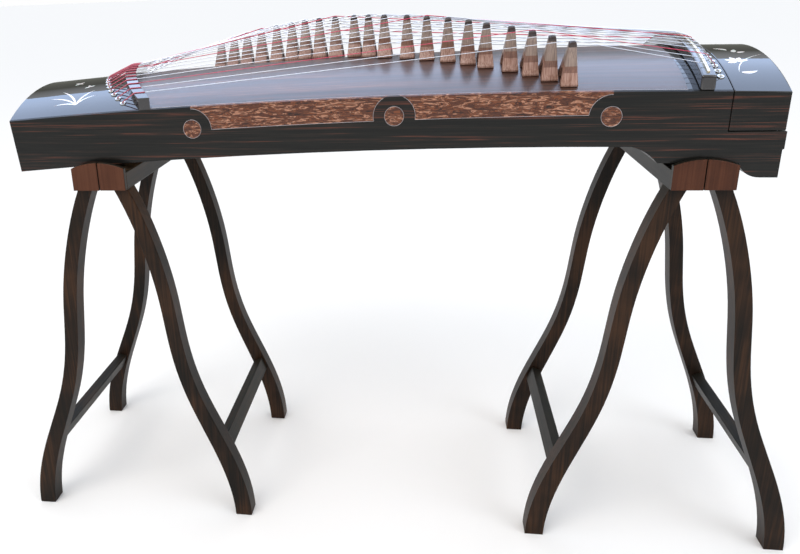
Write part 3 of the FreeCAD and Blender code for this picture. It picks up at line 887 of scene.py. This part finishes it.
def petal(x, y, length, width, turn, curl=0.0):
    """A leaf of shell whose root is at (x, y) on the unrolled top, pointing by turn
    degrees from +X and bending by curl degrees over its length."""
    bpy.ops.object.select_all(action="DESELECT")
    bpy.ops.mesh.primitive_grid_add(x_subdivisions=12, y_subdivisions=4, size=2)
    piece = bpy.context.object
    for vertex in piece.data.vertices:
        t = (vertex.co.x + 1) / 2
        half = width / 2 * math.sin(math.pi * t ** 0.8) ** 0.75
        bend = math.radians(turn + curl * t)
        along = Vector((math.cos(bend), math.sin(bend))) * length * t
        side = Vector((-math.sin(bend), math.cos(bend))) * half * vertex.co.y
        spot = Vector((x, y)) + along + side
        vertex.co = above(spot.x, spot.y / ARCH, SHELL)
    return piece


def spray(name, body, petals):
    made = joined([petal(*values) for values in petals], name)
    only(made)
    bpy.ops.object.mode_set(mode="EDIT")
    bpy.ops.mesh.select_all(action="SELECT")
    bpy.ops.mesh.remove_doubles(threshold=0.01 * MM)
    bpy.ops.mesh.normals_make_consistent(inside=False)
    bpy.ops.object.mode_set(mode="OBJECT")
    apply_modifier(made, "shell", "SOLIDIFY", thickness=2 * SHELL, offset=-1)
    finish_piece(made, PEARL, body)
    return made


# each petal: root along and across in mm, length, width, turn and curl in degrees
ORCHID = ((-431, -132, 62, 3.0, 112, 16), (-431, -132, 48, 2.8, 96, -22),
          (-431, -132, 56, 2.6, 128, 24), (-431, -132, 34, 2.8, 84, -34),
          (-431, -132, 34, 2.6, 146, 30), (-458, -46, 9, 4.5, 60, 0),
          (-458, -46, 9, 4.5, 150, 0), (-458, -46, 9, 4.5, 240, 0),
          (-458, -46, 8, 3.5, 330, 0), (-433, -69, 8, 4.0, 30, 0),
          (-433, -69, 8, 4.0, 120, 0), (-433, -69, 8, 4.0, 220, 0))
LOTUS = ((436, -97, 15, 6.5, 20, 0), (436, -97, 15, 6.5, 65, 0), (436, -97, 16, 6.5, 110, 0),
         (436, -97, 15, 6.5, 155, 0), (436, -97, 13, 5.5, 200, 0), (430, -128, 70, 1.4, 82, -28),
         (442, -60, 14, 6.0, 70, 0), (446, -62, 11, 4.5, 20, 0), (437, -50, 17, 6.0, 110, 30),
         (432, -128, 20, 5.5, -20, 30))


def laid(design):
    return [(x * MM, y * MM, long * MM, wide * MM, turn, curl)
            for x, y, long, wide, turn, curl in design]


spray("pearl_orchid", "sound_box", laid(ORCHID))
spray("pearl_lotus", "lid", laid(LOTUS))
print("laid the two sprays")

# %% [markdown]
# ## Floor, light and camera
# A white floor that also fills the background. The sky is pale overhead and olive grey near
# the horizon, because polished black lacquer shows whatever is around it: the dark band
# gives the lid's crest its depth. A pale blue panel above and behind is seen only in
# reflections, and it slides down the lacquer's near slope with a crisp edge. Two soft boxes
# in front model the wood.

# %% Floor
bpy.ops.object.select_all(action="DESELECT")
bpy.ops.mesh.primitive_plane_add(size=400)
floor = bpy.context.object
floor.name = "floor"
floor_material, _, _ = new_material("White_studio_floor", Roughness=0.9,
                                    Specular_IOR_Level=0.0, Base_Color=linear("#f6f6f6"))
floor.data.materials.append(floor_material)

# %% Sky and lamps
world = bpy.data.worlds.new("Studio_sky")
bpy.context.scene.world = world
world.use_nodes = True
sky = world.node_tree
sky.nodes.clear()
height = add(sky, "ShaderNodeSeparateXYZ", {
    "Vector": add(sky, "ShaderNodeTexCoord").outputs["Generated"]}).outputs["Z"]
seen = colour_steps(sky, height, [(0.0, "#6f7069"), (0.34, "#6f7069"), (0.58, "#f4f8ff"),
                                  (1.0, "#ffffff")])
dome = add(sky, "ShaderNodeBackground", {"Color": seen, "Strength": 1.3})
plain = add(sky, "ShaderNodeBackground", {"Color": (1, 1, 1, 1), "Strength": 1.0})
ray = add(sky, "ShaderNodeLightPath").outputs["Is Camera Ray"]
both = add(sky, "ShaderNodeMixShader", {0: ray, 1: dome.outputs[0], 2: plain.outputs[0]})
add(sky, "ShaderNodeOutputWorld", {"Surface": both.outputs[0]})


def lamp(name, place, target, size, watts, tint):
    light = bpy.data.lights.new(name, "AREA")
    light.shape = "RECTANGLE"
    light.size, light.size_y = size
    light.energy = watts
    light.color = linear(tint)[:3]
    made = bpy.data.objects.new(name, light)
    bpy.context.scene.collection.objects.link(made)
    made.location = place
    made.rotation_euler = (Vector(target) - Vector(place)).to_track_quat("-Z", "Y").to_euler()
    return made


lamp("key_softbox", (-1.6, -2.6, 3.2), (0, 0, 0.5), (2.4, 1.8), 60, "#fff8f0")
lamp("fill_softbox", (2.6, -1.8, 2.2), (0, 0, 0.4), (2.0, 2.0), 26, "#f2f7ff")
mirror_panel = lamp("mirror_panel", (0, 1.3, 2.8), (0, 0, 0.85), (6.5, 2.16), 130, "#a3c2f2")
mirror_panel.visible_diffuse = False
bpy.context.scene.view_settings.view_transform = "Standard"

# %% [markdown]
# The camera stands close in front of the tail half at chest height, looking down by twenty
# degrees and turned a little to the left, so the head end is seen larger. Its matrix is
# built from those angles: the way it looks, its right and its up.

# %% Camera
CAMERA_PLACE = (0.05594, -1.16741, 0.78397)
YAW, PITCH, ROLL = -0.166738, 0.354062, -0.040989
LENS = 34.893
SHIFT = (0.1212, 0.0009)
camera_data = bpy.data.cameras.new("camera")
camera_data.lens = LENS
camera_data.sensor_width = 36.0
camera_data.shift_x, camera_data.shift_y = SHIFT
camera = bpy.data.objects.new("camera", camera_data)
bpy.context.scene.collection.objects.link(camera)
ahead = Vector((math.sin(YAW) * math.cos(PITCH), math.cos(YAW) * math.cos(PITCH),
                -math.sin(PITCH)))
right = Vector((math.cos(YAW), -math.sin(YAW), 0))
up = right.cross(ahead)
level = Matrix((right, up, -ahead)).transposed()
camera.matrix_world = (Matrix.Translation(CAMERA_PLACE) @ level.to_4x4()
                       @ Matrix.Rotation(ROLL, 4, "Z"))
bpy.context.scene.camera = camera
print("camera at", CAMERA_PLACE)
